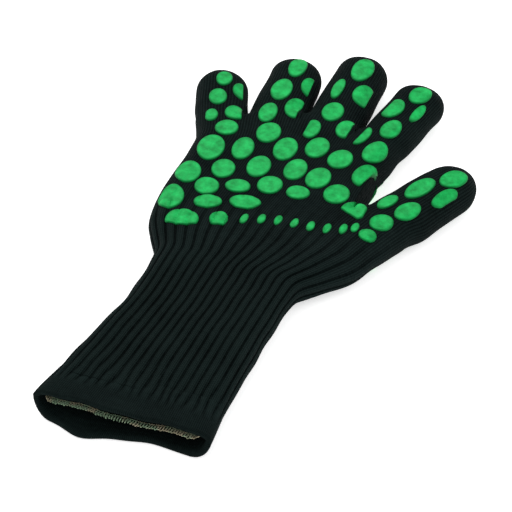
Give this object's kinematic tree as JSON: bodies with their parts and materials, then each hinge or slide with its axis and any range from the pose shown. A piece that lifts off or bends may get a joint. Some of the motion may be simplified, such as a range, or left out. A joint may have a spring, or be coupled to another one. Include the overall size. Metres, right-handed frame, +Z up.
{
  "type": "heat resistant glove",
  "caption": "Long-cuffed knitted five-finger grill glove lying flat, with a soft lining, a ribbed cuff with a rolled hem, and raised oval silicone grip pads.",
  "frame": {"origin": "middle of the footprint, on the plane the glove lies on", "axes": "+Y from the cuff to the fingertips, +Z up out of the palm, +X toward the thumb"},
  "size_m": [0.1767, 0.3299, 0.0235],
  "materials": {
    "knit": "matt ribbed knit",
    "hem": "matt smooth knit",
    "lining": "brushed cotton",
    "thread": "spun thread",
    "silicone": "satin"
  },
  "bodies": {
    "palm": {"palm_shell": "knit", "palm_liner": "lining", "palm_pads": "silicone", "palm_back_pads": "silicone", "motif_marks": "silicone"},
    "cuff": {"cuff_shell": "knit", "cuff_liner": "lining", "hem_band": "hem", "overlock_stitch": "thread"},
    "knuckles": {"knuckle_shell": "knit", "knuckle_liner": "lining", "knuckle_pads": "silicone", "knuckle_back_pads": "silicone"},
    "pinky_base": {"pinky_base_shell": "knit", "pinky_base_liner": "lining", "pinky_base_pads": "silicone", "pinky_base_back_pads": "silicone"},
    "pinky_tip": {"pinky_tip_shell": "knit", "pinky_tip_liner": "lining", "pinky_tip_pads": "silicone", "pinky_tip_back_pads": "silicone"},
    "ring_base": {"ring_base_shell": "knit", "ring_base_liner": "lining", "ring_base_pads": "silicone", "ring_base_back_pads": "silicone"},
    "ring_tip": {"ring_tip_shell": "knit", "ring_tip_liner": "lining", "ring_tip_pads": "silicone", "ring_tip_back_pads": "silicone"},
    "middle_base": {"middle_base_shell": "knit", "middle_base_liner": "lining", "middle_base_pads": "silicone", "middle_base_back_pads": "silicone"},
    "middle_tip": {"middle_tip_shell": "knit", "middle_tip_liner": "lining", "middle_tip_pads": "silicone", "middle_tip_back_pads": "silicone"},
    "index_base": {"index_base_shell": "knit", "index_base_liner": "lining", "index_base_pads": "silicone", "index_base_back_pads": "silicone"},
    "index_tip": {"index_tip_shell": "knit", "index_tip_liner": "lining", "index_tip_pads": "silicone", "index_tip_back_pads": "silicone"},
    "thumb_base": {"thumb_base_shell": "knit", "thumb_base_liner": "lining", "thumb_base_pads": "silicone", "thumb_base_back_pads": "silicone"},
    "thumb_tip": {"thumb_tip_shell": "knit", "thumb_tip_liner": "lining", "thumb_tip_pads": "silicone", "thumb_tip_back_pads": "silicone"}
  },
  "joints": [
    {"name": "wrist_bend", "type": "hinge", "parent": "palm", "child": "cuff", "pos_m": [-0.0189, -0.0369, 0.01175], "axis": [-1, 0, 0], "range_deg": [-35, 45]},
    {"name": "knuckle_bend", "type": "hinge", "parent": "palm", "child": "knuckles", "pos_m": [-0.0189, 0.0681, 0.02351], "axis": [0.9863, 0.165, 0], "range_deg": [-15, 60]},
    {"name": "pinky_base_bend", "type": "hinge", "parent": "knuckles", "child": "pinky_base", "pos_m": [-0.06822, 0.0867, 0.02351], "axis": [0.9455, 0.3256, 0], "range_deg": [0, 60]},
    {"name": "pinky_tip_bend", "type": "hinge", "parent": "pinky_base", "child": "pinky_tip", "pos_m": [-0.07425, 0.10419, 0.02351], "axis": [0.9455, 0.3256, 0], "range_deg": [0, 60]},
    {"name": "ring_base_bend", "type": "hinge", "parent": "knuckles", "child": "ring_base", "pos_m": [-0.03792, 0.09798, 0.02351], "axis": [0.9969, 0.0785, 0], "range_deg": [0, 60]},
    {"name": "ring_tip_bend", "type": "hinge", "parent": "ring_base", "child": "ring_tip", "pos_m": [-0.03992, 0.1234, 0.02351], "axis": [0.9969, 0.0785, 0], "range_deg": [0, 60]},
    {"name": "middle_base_bend", "type": "hinge", "parent": "knuckles", "child": "middle_base", "pos_m": [-0.00527, 0.0986, 0.02351], "axis": [1, 0.0087, 0], "range_deg": [0, 60]},
    {"name": "middle_tip_bend", "type": "hinge", "parent": "middle_base", "child": "middle_tip", "pos_m": [-0.00556, 0.1321, 0.02351], "axis": [1, 0.0087, 0], "range_deg": [0, 60]},
    {"name": "index_base_bend", "type": "hinge", "parent": "knuckles", "child": "index_base", "pos_m": [0.02653, 0.09565, 0.02351], "axis": [0.9816, -0.1908, 0], "range_deg": [0, 60]},
    {"name": "index_tip_bend", "type": "hinge", "parent": "index_base", "child": "index_tip", "pos_m": [0.03187, 0.12314, 0.02351], "axis": [0.9816, -0.1908, 0], "range_deg": [0, 60]},
    {"name": "thumb_base_bend", "type": "hinge", "parent": "palm", "child": "thumb_base", "pos_m": [0.05412, 0.03327, 0.02351], "axis": [0.8949, -0.4462, 0], "range_deg": [-10, 50]},
    {"name": "thumb_tip_bend", "type": "hinge", "parent": "thumb_base", "child": "thumb_tip", "pos_m": [0.06706, 0.05922, 0.02351], "axis": [0.8949, -0.4462, 0], "range_deg": [0, 60]}
  ]
}
